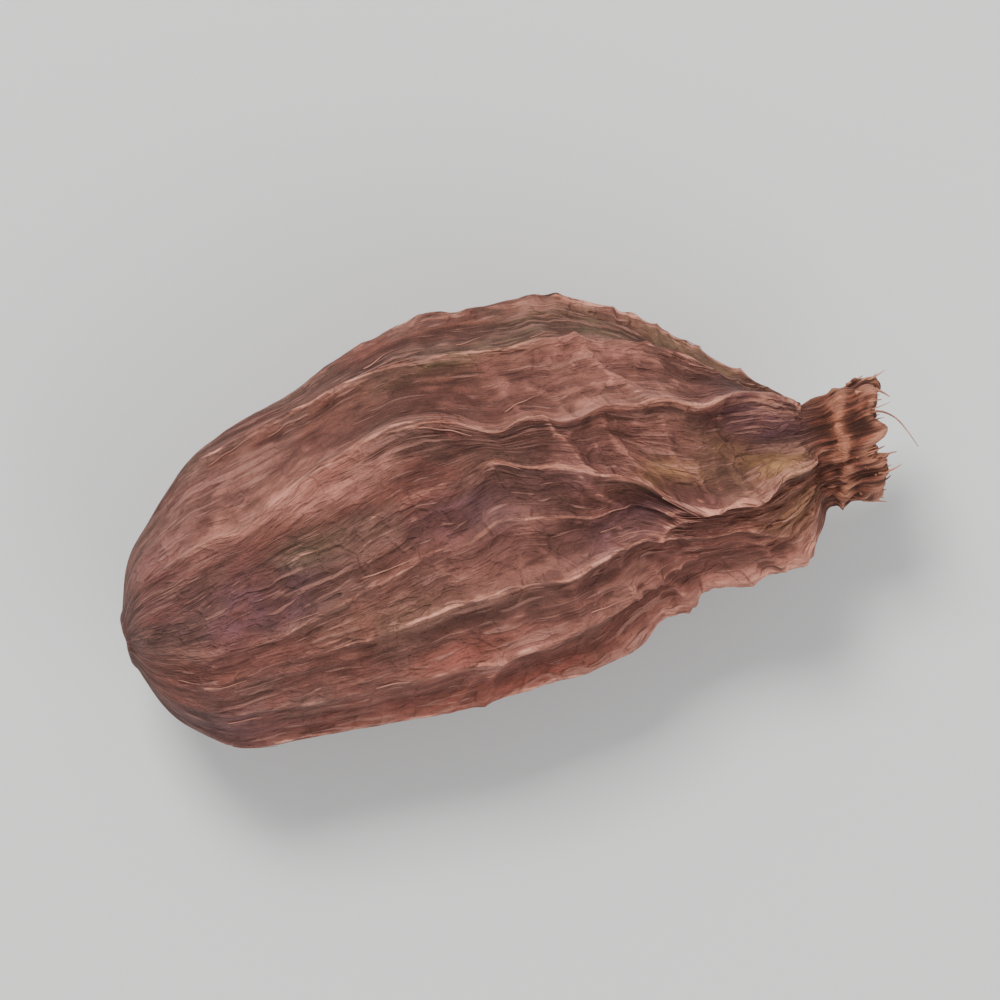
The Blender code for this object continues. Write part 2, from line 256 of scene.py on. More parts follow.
def spot(share, angle, middle, around, half_length, half_width):
    """1 in the middle of a round spot on the husk, falling to 0 about it."""
    aside = (np.degrees(angle) - around + 180.0) % 360.0 - 180.0
    off = np.hypot((share - middle) * POD_LENGTH / half_length, aside / half_width)
    return np.exp(-(off**2))


def outline_rows(rows):
    """Along and out, in metres, at every row, with the outward normals and the way from the rim."""
    along = np.array([point[0] for point in OUTLINE]) * POD_LENGTH
    out = np.array([point[1] for point in OUTLINE]) * HALF_WIDTH
    travelled = np.concatenate([[0.0], np.cumsum(np.hypot(np.diff(along), np.diff(out)))])
    at = np.linspace(0.0, 1.0, rows)
    at = (at + ROW_CROWDING * (1.0 - np.cos(TURN * at)) / TURN) * travelled[-1]
    along = smooth_curve(travelled, along, at)
    out = np.maximum(smooth_curve(travelled, out, at), 0.0)
    slope_along, slope_out = np.gradient(along), np.gradient(out)
    length = np.hypot(slope_along, slope_out)
    return along, out, -slope_out / length, slope_along / length, at, at - travelled[RIM_POINT]


def all_ribs(draw):
    first, last = LOWER_RIB_ANGLES
    ribs = list(UPPER_RIBS)
    for k in range(LOWER_RIB_COUNT):
        middle = first + (last - first) * k / (LOWER_RIB_COUNT - 1)
        angles = [middle + draw.uniform(-1, 1) * LOWER_RIB_SCATTER for _ in ANGLE_STATIONS]
        heights = [draw.uniform(0.2, 0.5) + 0.8 * station for station in HEIGHT_STATIONS]
        ribs.append(Rib(angles, heights, draw.uniform(-1, 1) * LOWER_RIB_LEAN, 1.0))
    return ribs


def rib_tracks(share, along):
    """Angle, height and lean of every rib at every row, as three arrays of ribs by rows."""
    draw = random.Random(SEED)
    ribs = all_ribs(draw)
    to_tip = smooth_step(0.35, 0.70, share)
    on_stub = smooth_step(0.84, 0.93, share)
    rise = smooth_step(0.02, 0.16, share) * (1.0 - 0.8 * on_stub)
    sway = blend(SWAY_ANGLES, to_tip) * (1.0 - 0.6 * on_stub)
    ragged = blend(RAGGED_SHARES, to_tip)
    found = []
    for rib in ribs:
        angle = smooth_curve(ANGLE_STATIONS, rib.angles, share)
        angle = angle + rib.wavy * sway * wave(draw, SWAY_LENGTHS, along)
        height = smooth_curve(HEIGHT_STATIONS, rib.heights, share) * RIB_HEIGHT * rise
        height = height * (1.0 + rib.wavy * ragged * wave(draw, RAGGED_LENGTHS, along))
        found.append((np.radians(angle), height, rib.lean * to_tip * (1.0 - on_stub)))
    return [np.array(part) for part in zip(*found)]


def edge_line(off, height):
    """1 along the line of a full crest, falling off beside it, and less along a low one."""
    return np.exp(-((off / EDGE_WIDTH) ** 2)) * np.clip(height, 0.0, 1.0)


def between_ribs(rib, part, gap, share, out, heights, leans, rounding):
    """Height over the plain husk, lean, crest line and the painted shadow beside a leaning crest, of the rows a
    part of the way to the next rib.
    """
    width = gap * np.maximum(out, RIM_FADE)
    overhang = np.clip(2.4 * heights[rib] * leans[rib] / RIB_HEIGHT, 0.0, 1.0)
    # Painted shadow: a dark band beside a leaning crest, on its lower side
    fold = overhang * np.exp(-(((part * width - FOLD_SHADOW_LINE[0]) / FOLD_SHADOW_LINE[1]) ** 2))
    relief, lean, edge = 0.0, 0.0, 0.0
    for crest, off in ((rib, part * width), ((rib + 1) % len(heights), (1.0 - part) * width)):
        edge = edge + edge_line(off, heights[crest] / RIB_HEIGHT)
        off = np.hypot(off, rounding) - rounding
        raised = heights[crest] * np.exp(-off / RIB_SPREAD)
        relief = relief + raised
        lean = lean + raised * leans[crest]
    sag = FURROW_SAG * math.sin(math.pi * part) * smooth_step(0.05, 0.75, share)
    return relief - sag * smooth_step(0.8 * MM, 2.8 * MM, width), lean, edge, fold


def cross_wrinkles(wrinkles, rib, part, share, rounding):
    """Height and crest line of the wrinkles that run from this rib to the next."""
    relief, edge = 0.0 * share, 0.0 * share
    for owner, leaves, meets, height in wrinkles:
        if owner == rib:
            off = (share - blend((leaves, meets), part)) * POD_LENGTH
            edge = edge + edge_line(off, height)
            off = np.hypot(off, rounding) - rounding
            relief = relief + height * RIB_HEIGHT * np.exp(-off / WRINKLE_SPREAD)
    return relief, edge


def small_wrinkles():
    """Slight wrinkles between the ribs, most of them where the husk is crumpled."""
    draw = random.Random(SEED + 3)
    found = []
    for k in range(SMALL_WRINKLES):
        leaves = draw.triangular(0.30, 0.88, 0.74)
        meets = leaves + draw.choice((-1, 1)) * draw.uniform(0.02, 0.08)
        found.append((k % 15, leaves, meets, draw.uniform(0.08, 0.28)))
    return found


# The low relief of the skin

def lattice_noise(places, seed):
    """Smooth noise between -1 and 1 at places, an array of any shape by three."""
    cell = np.floor(places).astype(np.int64)
    t = places - cell
    t = t * t * (3.0 - 2.0 * t)
    total = np.zeros(places.shape[:-1])
    for corner in itertools.product((0, 1), repeat=3):
        at = cell + np.array(corner)
        mixed = at[..., 0] * 73856093 ^ at[..., 1] * 19349663 ^ at[..., 2] * 83492791 ^ seed * 2654435761
        mixed = (mixed ^ (mixed >> 13)) * 1274126177 & 0xFFFFFFFF
        mixed = (mixed ^ (mixed >> 16)) * 2246822519 & 0xFFFFFFFF
        weight = np.prod(np.where(np.array(corner) == 1, t, 1.0 - t), axis=-1)
        total += weight * ((mixed ^ (mixed >> 15)) & 0xFFFF) / 32767.5
    return total - 1.0


def wrinkle_noise(turn, travel, across, length, seed):
    """Noise whose patches have the given size across and along the fibres, seamless round the pod."""
    radius = BELLY_ROUND / across / TURN
    places = [radius * np.cos(turn), radius * np.sin(turn), travel / length]
    return lattice_noise(np.stack(places, axis=-1), seed)


def ridges(turn, travel, layer, sharpness, seed):
    """Thin raised lines, a layer's height above the flats between them."""
    height, across, length = layer
    noise = wrinkle_noise(turn, travel, across, length, seed)
    return height * ((1.0 - np.abs(noise)) ** sharpness - 1.0 / (1.0 + sharpness))


def stub_share(turn, travel, share):
    """0 on the husk and 1 on the stub, with an uneven line between them."""
    uneven = share + NECK_WANDER * wrinkle_noise(turn, travel, 3.2 * MM, 9.0 * MM, 19)
    return smooth_step(0.892, 0.925, uneven)


def stub_ring(turn, travel, share):
    """1 on top of the stub's knotty ring, in lumps with gaps between them."""
    middle, half_width, _, swing, quiver = STUB_RING
    uneven = share + swing * wrinkle_noise(turn, travel, 5.0 * MM, 9.0 * MM, 41)
    uneven = uneven + quiver * wrinkle_noise(turn, travel, 1.3 * MM, 0.9 * MM, 47)
    lumps = wrinkle_noise(turn, travel, 3.4 * MM, 9.0 * MM, 43)
    knots = wrinkle_noise(turn, travel, 1.2 * MM, 0.8 * MM, 45)
    wide = half_width * (1.0 + 0.45 * lumps)
    return np.clip(0.55 + 0.9 * lumps + 0.5 * knots, 0.0, 1.2) * np.exp(
        -(((uneven - middle) * POD_LENGTH / wide) ** 2)
    )


def skin_relief(turn, travel, share):
    """Height of veins, fibres, puckers, crumples and dents over the husk's form."""
    to_tip = smooth_step(0.38, 0.75, share)
    off_base = smooth_step(0.00, 0.10, share)
    stub = stub_share(turn, travel, share)
    middle, half_length, depth = NECK_GROOVE
    groove = depth * np.exp(-(((share - middle) * POD_LENGTH / half_length) ** 2))
    radius, half_width, height = SCAR_RING
    ring = height * np.exp(-(((travel - radius) / half_width) ** 2))
    ring = ring - SCAR_PIT[1] * np.exp(-((travel / SCAR_PIT[0]) ** 2))
    aside, lengthwise, across, length = WANDER
    turn = turn + wrinkle_noise(turn, travel, across, length, 31) * aside * TURN / BELLY_ROUND
    travel = travel + wrinkle_noise(turn, travel, across, across, 33) * lengthwise
    veins = ridges(turn, travel, VEINS, 6, 3) * (0.6 + 0.5 * to_tip)
    fibres = ridges(turn, travel, FIBRES, 4, 5) + ridges(turn, travel, THREADS, 3, 6)
    puckers = ridges(turn, travel, PUCKERS, 4, 7) * (0.5 + to_tip)
    crumples = ridges(turn, travel, CRUMPLES, 5, 8) * to_tip
    dents = DENTS[0] * wrinkle_noise(turn, travel, DENTS[1], DENTS[2], 9)
    husk = (veins + fibres + puckers + dents) * off_base + crumples
    pits = PITS[0] * smooth_step(0.38, 0.72, wrinkle_noise(turn, travel, PITS[1], PITS[2], 11))
    husk = husk - pits * (0.25 + 0.75 * to_tip) * off_base
    rope = ridges(turn, travel, STUB_FIBRES, 3, 13) + ridges(turn, travel, STUB_THREADS, 3, 14)
    rope = rope + STUB_RING[2] * stub_ring(turn, travel, share)
    return husk * (1.0 - 0.8 * stub) + rope * stub - groove + ring


def along_crest(crest, travel, seed):
    """Noise between about -1 and 1 along one rib."""
    total = 0.0
    for run in CREST_RUNS:
        places = np.stack([np.full_like(travel, crest * 7.3), travel / run, travel / (3.1 * run)], axis=-1)
        total = total + lattice_noise(places, seed) / len(CREST_RUNS)
    return total


def patch_mask(share, angle, patches):
    """How strongly a tone's patches colour each point."""
    mask = 0.0
    for *place, strength in patches:
        mask = mask + strength * spot(share, angle, *place)
    return np.clip(mask, 0.0, 1.0)


Husk = namedtuple("Husk", "points angle turn travel from_rim share edge fold relief")


def husk_grid(rows, columns_a_rib, fine):
    """The husk's surface as rows by columns, with what the finish needs to know of every point."""
    along, out, normal_along, normal_out, travel, from_rim = outline_rows(rows)
    share = along / POD_LENGTH
    angles, heights, leans = rib_tracks(share, along)
    wrinkles, rounding, crowding = list(WRINKLES), RIB_ROUNDING, COLUMN_CROWDING
    if fine:
        rounding, crowding = FINE_ROUNDING, FINE_CROWDING
        fine_from = smooth_step(0.10, 0.5, share)
        nicks = np.array([along_crest(crest, travel, 21) for crest in range(len(heights))])
        strays = np.array([along_crest(crest, travel, 23) for crest in range(len(heights))])
        heights = heights * (1.0 + CREST_NICKS * nicks * fine_from)
        angles = angles + CREST_STRAY * strays * fine_from / np.maximum(out, 1.5 * MM)
        wrinkles.extend(small_wrinkles())
    columns = []
    for rib in range(len(angles)):
        gap = (angles[(rib + 1) % len(angles)] - angles[rib]) % TURN
        for step in range(columns_a_rib):
            part = step / columns_a_rib
            part = part - crowding * math.sin(TURN * part)
            ribs, lean, rib_edge, fold = between_ribs(rib, part, gap, share, out, heights, leans, rounding)
            creases, crease_edge = cross_wrinkles(wrinkles, rib, part, share, rounding)
            columns.append([angles[rib] + gap * part, ribs, creases, lean, rib_edge + crease_edge, fold])
    angle, ribs, creases, lean, edge, fold = np.array(columns).transpose(1, 2, 0)

    draw = random.Random(SEED + 1)
    swells = [(turns, draw.uniform(0, TURN), draw.uniform(-0.5, 0.5)) for turns in SWELL_TURNS]
    tears = [(turns, draw.uniform(0, TURN)) for turns in TORN_TURNS]
    along, out, share, travel, from_rim, normal_along, normal_out = (
        values[:, None] for values in (along, out, share, travel, from_rim, normal_along, normal_out)
    )
    turn = angle.mean(axis=0) + 0.0 * share
    travel = travel + 0.0 * angle
    sunk = sum(depth * spot(share, angle, *place) for *place, depth in HOLLOWS)
    swell = sum(
        np.sin(turns * angle + phase + TURN * twist * along / SWELL_LENGTH) for turns, phase, twist in swells
    )
    relief = ribs * (1.0 - WORN_SPOT[4] * spot(share, angle, *WORN_SPOT[:4])) + creases - sunk
    relief = relief + SWELL_HEIGHT * swell * smooth_step(0.02, 0.2, share)
    torn = TORN_HEIGHT * sum(np.sin(turns * angle + phase) for turns, phase in tears)
    if fine:
        frays = wrinkle_noise(turn, travel, EDGE_FRAYS[1], EDGE_FRAYS[2], 15)
        relief = relief + skin_relief(turn, travel, share) + EDGE_FRAYS[0] * frays * edge
        torn = torn + RIM_SHREDS * wrinkle_noise(turn, travel, 1.4 * MM, 9.0 * MM, 17)
    outside = 1.0 - smooth_step(0.0, RIM_FADE, from_rim)
    relief, lean = relief * outside, lean * outside
    torn = torn * np.exp(-((from_rim / TORN_REACH) ** 2))
    slant = RIM_SLANT * np.cos(angle) * smooth_step(0.90, 0.97, share)
    wide = out * (1.0 + LOBE_SHARE * np.cos(3 * (angle - math.radians(LOBE_ANGLE))))
    high = wide * HALF_HEIGHT / HALF_WIDTH
    points = np.stack([
        along + relief * normal_along + torn + slant,
        np.cos(angle) * (wide + relief * normal_out) - np.sin(angle) * lean,
        np.sin(angle) * (high + relief * normal_out) + np.cos(angle) * lean,
    ], axis=-1)
    points[:, :, 1] += smooth_curve(BEND_STATIONS, BEND_SIDEWAYS, share)
    points[:, :, 2] += smooth_curve(BEND_STATIONS, BEND_UPWARDS, share)
    from_rim = from_rim + 0.0 * angle
    share = np.where(from_rim > 0, 1.0, share)
    return Husk(points, angle, turn, travel, from_rim, share, edge, fold, relief)


def softened(field, times):
    """A grid's values, averaged with their neighbours again and again."""
    for _ in range(times):
        field = (np.roll(field, 1, 1) + np.roll(field, -1, 1) + 2 * field) / 4
        padded = np.pad(field, ((1, 1), (0, 0)), mode="edge")
        field = (padded[:-2] + padded[2:] + 2 * field) / 4
    return field


def rested_husk():
    """The fine husk, resting where its solid rests."""
    solid = husk_grid(ROWS, COLUMNS_A_RIB, fine=False).points
    floor = solid[:, :, 2].min() + FLAT_SPOT_DEPTH
    solid[:, :, 2] = np.maximum(solid[:, :, 2], floor)
    low, high = solid.min(axis=(0, 1)), solid.max(axis=(0, 1))
    husk = husk_grid(FINE_ROWS, FINE_COLUMNS_A_RIB, fine=True)
    husk.points[:, :, 2] = np.maximum(husk.points[:, :, 2], floor)
    husk.points[:] -= [(low[0] + high[0]) / 2, (low[1] + high[1]) / 2, low[2]]
    return husk


def grid_faces(rows, columns):
    """Faces between neighbouring rows and columns, and round the one vertex at each end."""
    faces = []
    end = 1 + (rows - 2) * columns
    for column in range(columns):
        beside = (column + 1) % columns
        faces.append((0, 1 + beside, 1 + column))
        for row in range(rows - 3):
            here = 1 + row * columns
            ahead = here + columns
            faces.append((here + column, here + beside, ahead + beside, ahead + column))
        here = 1 + (rows - 3) * columns
        faces.append((here + column, here + beside, end))
    return faces


def on_vertices(field):
    """A grid's values in the order of the mesh's vertices."""
    flat = field.reshape(field.shape[0], field.shape[1], -1)
    return np.concatenate([flat[:1].mean(axis=1), flat[1:-1].reshape(-1, flat.shape[2]), flat[-1:].mean(axis=1)])


def add_mask(mesh, name, field):
    layer = mesh.attributes.new(name, "FLOAT", "POINT")
    layer.data.foreach_set("value", on_vertices(field).ravel().astype(np.float32))


def make_husk(husk, material):
    rows, columns = husk.turn.shape
    mesh = bpy.data.meshes.new("husk_skin")
    mesh.from_pydata(on_vertices(husk.points).tolist(), [], grid_faces(rows, columns))
    fibre_space = np.stack([np.cos(husk.turn), np.sin(husk.turn), husk.travel / MM], axis=-1)
    layer = mesh.attributes.new("fibre_space", "FLOAT_VECTOR", "POINT")
    layer.data.foreach_set("vector", on_vertices(fibre_space).ravel().astype(np.float32))
    near, wide = softened(husk.relief, 20), softened(husk.relief, 260)
    add_mask(mesh, "raised", np.clip((husk.relief - near) / (0.08 * MM), -1.0, 1.0))
    add_mask(mesh, "valley", np.clip((wide - near) / (0.25 * MM), 0.0, 1.0))
    add_mask(mesh, "edge", np.clip(husk.edge, 0.0, 1.0))
    add_mask(mesh, "fold", husk.fold)
    add_mask(mesh, "stub", stub_share(husk.turn, husk.travel, husk.share))
    add_mask(mesh, "rim", np.exp(-(((husk.from_rim + RIM_LINE[0]) / RIM_LINE[1]) ** 2)))
    add_mask(mesh, "ring", stub_ring(husk.turn, husk.travel, husk.share))
    add_mask(mesh, "cup_shade", smooth_step(0.3 * MM, 1.7 * MM, husk.from_rim))
    add_mask(mesh, "scar", 1.0 - smooth_step(0.5 * SCAR_RADIUS, SCAR_RADIUS, husk.travel))
    for tone, patches in TONE_AND_LIGHT_PATCHES.items():
        add_mask(mesh, tone, patch_mask(husk.share, husk.angle, patches))
    mesh.materials.append(material)
    mesh.shade_smooth()
    skin = bpy.data.objects.new("husk_skin", mesh)
    bpy.context.scene.collection.objects.link(skin)
    return skin


# Loose fibres

def tube_along(path, radii, sides):
    """Vertices and faces of a thin tapered tube along a path, closed at both ends."""
    vertices, faces = [], []
    for k, centre in enumerate(path):
        ahead = (path[min(k + 1, len(path) - 1)] - path[max(k - 1, 0)]).normalized()
        aside = ahead.cross(Vector((0.31, 0.52, 0.8))).normalized()
        above = ahead.cross(aside)
        for side in range(sides):
            angle = TURN * side / sides
            vertices.append(centre + radii[k] * (math.cos(angle) * aside + math.sin(angle) * above))
    for k in range(len(path) - 1):
        for side in range(sides):
            here, beside = k * sides + side, k * sides + (side + 1) % sides
            faces.append((here, beside, beside + sides, here + sides))
    faces.append(tuple(reversed(range(sides))))
    faces.append(tuple(range(len(vertices) - sides, len(vertices))))
    return vertices, faces


def fibre_piece(name, fibres, material):
    """One mesh of many thin fibres, each a (path, radius at its root)."""
    vertices, faces = [], []
    for path, radius in fibres:
        radii = [radius * (1.0 - 0.75 * k / (len(path) - 1)) for k in range(len(path))]
        more, more_faces = tube_along(path, radii, 5)
        faces.extend(tuple(len(vertices) + index for index in face) for face in more_faces)
        vertices.extend(more)
    mesh = bpy.data.meshes.new(name)
    mesh.from_pydata([tuple(vertex) for vertex in vertices], [], faces)
    mesh.materials.append(material)
    mesh.shade_smooth()
    piece = bpy.data.objects.new(name, mesh)
    bpy.context.scene.collection.objects.link(piece)
    return piece


def rounded_path(corners, count):
    """That many points of a smooth path through the corners."""
    stations = np.linspace(0.0, 1.0, len(corners))
    at = np.linspace(0.0, 1.0, count)
    return np.stack([smooth_curve(stations, values, at) for values in zip(*corners)], axis=-1)


def grid_normal(points, row, column):
    """The outward normal of the grid at one point."""
    columns = points.shape[1]
    ahead = Vector(points[min(row + 2, points.shape[0] - 1), column] - points[max(row - 2, 0), column])
    beside = Vector(points[row, (column + 2) % columns] - points[row, (column - 2) % columns])
    return beside.cross(ahead).normalized()


def frayed_fibres(husk):
    """Fibres that stand out of the stub's torn rim in clumps, and one long stray fibre."""
    draw = random.Random(SEED + 5)
    columns = husk.turn.shape[1]
    rim = int(np.argmax(husk.points[:, :, 0].mean(axis=1)))
    middle = Vector(husk.points[rim].mean(axis=0))
    farthest = cad_high.x + 0.5 * MM
    fibres = []
    for clump in range(FRAY_CLUMPS):
        at = (clump + draw.uniform(-0.4, 0.4)) / FRAY_CLUMPS * columns
        drift = draw.uniform(-0.35, 0.35)
        for _ in range(draw.randint(2, 6)):
            root = Vector(husk.points[rim - draw.randint(1, 7), int(at + draw.uniform(-6, 6)) % columns])
            outward = root - middle
            outward.x = 0.0
            outward.normalize()
            beside = outward.cross(Vector((1.0, 0.0, 0.0)))
            way = Vector((1.0, 0.0, 0.0)) + outward * draw.uniform(-0.3, 0.35)
            way = (way + beside * (drift + draw.uniform(-0.15, 0.15))).normalized()
            bend = outward * draw.uniform(-0.35, 0.25) + beside * draw.uniform(-0.2, 0.2)
            length = min(draw.triangular(0.25, 1.2, 0.4) * MM, farthest - root.x)
            root = root - outward * 0.05 * MM - way * 0.10 * MM
            path = [root + (way * t + bend * t * t) * length for t in (0.0, 0.25, 0.5, 0.75, 1.0)]
            fibres.append((path, draw.uniform(0.035, 0.085) * MM))
    stray = int(np.argmin(np.abs(husk.angle[rim] - math.radians(STRAY_ANGLE))))
    root = Vector(husk.points[rim - 2, stray]) + Vector((-0.1, 0.0, -0.05)) * MM
    fibres.append(([root + Vector(step) * MM for step in rounded_path(STRAY_FIBRE, 17)], 0.055 * MM))
    return fibres


def crest_slivers(husk):
    """Slivers of fibre that have split off the skin, most of them along the crests, and stand up at one end."""
    draw = random.Random(SEED + 6)
    rows, columns = husk.turn.shape
    fibres = []
    while len(fibres) < SLIVER_COUNT:
        rib = draw.randrange(columns // FINE_COLUMNS_A_RIB)
        column = (rib * FINE_COLUMNS_A_RIB + round(draw.gauss(0, 4))) % columns
        row = draw.randint(int(rows * 0.10), int(rows * 0.82))
        count = draw.randint(7, 15)
        drift = draw.uniform(-0.25, 0.25)
        lift = draw.uniform(0.02, 0.16) * MM
        path = []
        for k in range(count):
            beside = round(column + drift * k) % columns
            normal = grid_normal(husk.points, row + k, beside)
            path.append(Vector(husk.points[row + k, beside]) + normal * (0.02 * MM + lift * (k / count) ** 2))
        for _ in range(3):
            path = [path[0]] + [(a + 2 * b + c) / 4 for a, b, c in zip(path, path[1:], path[2:])] + [path[-1]]
        if min(point.z for point in path) > 0.6 * MM:
            fibres.append((path, draw.uniform(0.020, 0.042) * MM))
    return fibres


# Finishes

def add_node(tree, kind, **settings):
    node = tree.nodes.new(kind)
    for name, value in settings.items():
        setattr(node, name, value)
    return node


def mix_colours(tree, share, first, second, mode="MIX"):
    """A node that blends two colours by a share. Each of the three is a socket or a plain value."""
    node = add_node(tree, "ShaderNodeMix", data_type="RGBA", blend_type=mode, clamp_factor=True)
    for socket, value in ((node.inputs["Factor"], share), (node.inputs[6], first), (node.inputs[7], second)):
        connect(tree, value, socket)
    return node.outputs[2]


def connect(tree, value, socket):
    if isinstance(value, bpy.types.NodeSocket):
        tree.links.new(value, socket)
    elif hasattr(value, "__len__"):
        socket.default_value = (*value, 1.0)
    else:
        socket.default_value = value


def sum_up(tree, operation, first, second, clamp=False):
    node = add_node(tree, "ShaderNodeMath", operation=operation, use_clamp=clamp)
    connect(tree, first, node.inputs[0])
    connect(tree, second, node.inputs[1])
    return node.outputs[0]


def ranged(tree, value, low, high, to_low=0.0, to_high=1.0):
    """A value brought from one range to another, held at its ends."""
    node = add_node(tree, "ShaderNodeMapRange", interpolation_type="SMOOTHSTEP")
    tree.links.new(value, node.inputs["Value"])
    for name, number in zip(("From Min", "From Max", "To Min", "To Max"), (low, high, to_low, to_high)):
        node.inputs[name].default_value = number
    return node.outputs["Result"]


def stretched_noise(tree, space, round_pod, along, detail=3.0, roughness=0.55, shift=0.0):
    """Noise with so many patches round the pod, and so many a millimetre along it."""
    scaled = add_node(tree, "ShaderNodeMapping")
    tree.links.new(space, scaled.inputs["Vector"])
    scaled.inputs["Scale"].default_value = (round_pod / TURN, round_pod / TURN, along)
    scaled.inputs["Location"].default_value = (shift, shift, shift)
    noise = add_node(tree, "ShaderNodeTexNoise")
    noise.inputs["Scale"].default_value = 1.0
    noise.inputs["Detail"].default_value = detail
    noise.inputs["Roughness"].default_value = roughness
    tree.links.new(scaled.outputs["Vector"], noise.inputs["Vector"])
    return noise.outputs["Fac"]


def wandering(tree, space, aside, lengthwise):
    """The fibre space, pushed to and fro so that nothing in it runs straight."""
    noise = add_node(tree, "ShaderNodeTexNoise")
    noise.inputs["Scale"].default_value = 1.0
    noise.inputs["Detail"].default_value = 2.0
    scaled = add_node(tree, "ShaderNodeMapping")
    scaled.inputs["Scale"].default_value = (4.0, 4.0, 0.5)
    tree.links.new(space, scaled.inputs["Vector"])
    tree.links.new(scaled.outputs["Vector"], noise.inputs["Vector"])
    push = add_node(tree, "ShaderNodeVectorMath", operation="MULTIPLY_ADD")
    push.inputs[1].default_value = (aside, aside, lengthwise)
    tree.links.new(noise.outputs["Color"], push.inputs[0])
    tree.links.new(space, push.inputs[2])
    return push.outputs["Vector"]


def crack_lines(tree, space, round_pod, along, width):
    """Thin lines of a net whose cells have the given numbers round the pod and along a millimetre."""
    scaled = add_node(tree, "ShaderNodeMapping")
    scaled.inputs["Scale"].default_value = (round_pod / TURN, round_pod / TURN, along)
    tree.links.new(space, scaled.inputs["Vector"])
    cells = add_node(tree, "ShaderNodeTexVoronoi", feature="DISTANCE_TO_EDGE")
    cells.inputs["Scale"].default_value = 1.0
    tree.links.new(scaled.outputs["Vector"], cells.inputs["Vector"])
    return ranged(tree, cells.outputs["Distance"], width, 0.0)


def fibre_grain_group():
    """Streaks, mottling, pale dashes, dark slits and a height for plant fibre, from a place in fibre space."""
    group = bpy.data.node_groups.new("fibre_grain", "ShaderNodeTree")
    group.interface.new_socket("Fibre Space", in_out="INPUT", socket_type="NodeSocketVector")
    for name in ("Streaks", "Mottle", "Dashes", "Slits", "Height"):
        group.interface.new_socket(name, in_out="OUTPUT", socket_type="NodeSocketFloat")
    start = group.nodes.new("NodeGroupInput")
    end = group.nodes.new("NodeGroupOutput")
    space = wandering(group, start.outputs["Fibre Space"], 0.06, 1.2)
    broad = stretched_noise(group, space, 75, 0.35)
    thin = stretched_noise(group, space, 260, 0.42, shift=5.0)
    thinnest = stretched_noise(group, space, 560, 1.0, detail=2.0, shift=9.0)
    mottle = stretched_noise(group, space, 72, 0.62, detail=5.0, roughness=0.62, shift=3.0)
    dashes = ranged(group, stretched_noise(group, space, 230, 0.60, detail=1.0, shift=13.0), 0.61, 0.70)
    lines = ranged(group, stretched_noise(group, space, 165, 0.24, detail=1.0, shift=29.0), 0.53, 0.62)
    gathered = ranged(group, stretched_noise(group, space, 22, 0.26, detail=1.0, shift=33.0), 0.50, 0.60)
    dashes = sum_up(group, "MAXIMUM", dashes, sum_up(group, "MULTIPLY", lines, gathered))
    slits = ranged(group, stretched_noise(group, space, 170, 0.50, detail=1.5, shift=17.0), 0.35, 0.28)
    net = crack_lines(group, space, 46, 0.62, 0.10)
    fine_net = crack_lines(group, space, 110, 1.3, 0.14)
    height = sum_up(group, "ADD", sum_up(group, "MULTIPLY", thin, 0.7), sum_up(group, "MULTIPLY", thinnest, 0.4))
    height = sum_up(group, "ADD", height, sum_up(group, "MULTIPLY", mottle, 1.3))
    height = sum_up(group, "ADD", height, sum_up(group, "MULTIPLY", net, 0.30))
    height = sum_up(group, "ADD", height, sum_up(group, "MULTIPLY", fine_net, 0.16))
    height = sum_up(group, "ADD", height, sum_up(group, "MULTIPLY", dashes, 0.35))
    height = sum_up(group, "SUBTRACT", height, sum_up(group, "MULTIPLY", slits, 0.6))
    streaks = sum_up(group, "ADD", sum_up(group, "MULTIPLY", broad, 0.5), sum_up(group, "MULTIPLY", thin, 0.5))
    outputs = (("Streaks", streaks), ("Mottle", mottle), ("Dashes", dashes), ("Slits", slits), ("Height", height))
    for name, value in outputs:
        group.links.new(value, end.inputs[name])
    return group


def new_material(name):
    material = bpy.data.materials.new(name)
    material.use_nodes = True
    tree = material.node_tree
    return material, tree, tree.nodes["Principled BSDF"]


def attribute(tree, name, output="Fac"):
    return add_node(tree, "ShaderNodeAttribute", attribute_name=name).outputs[output]


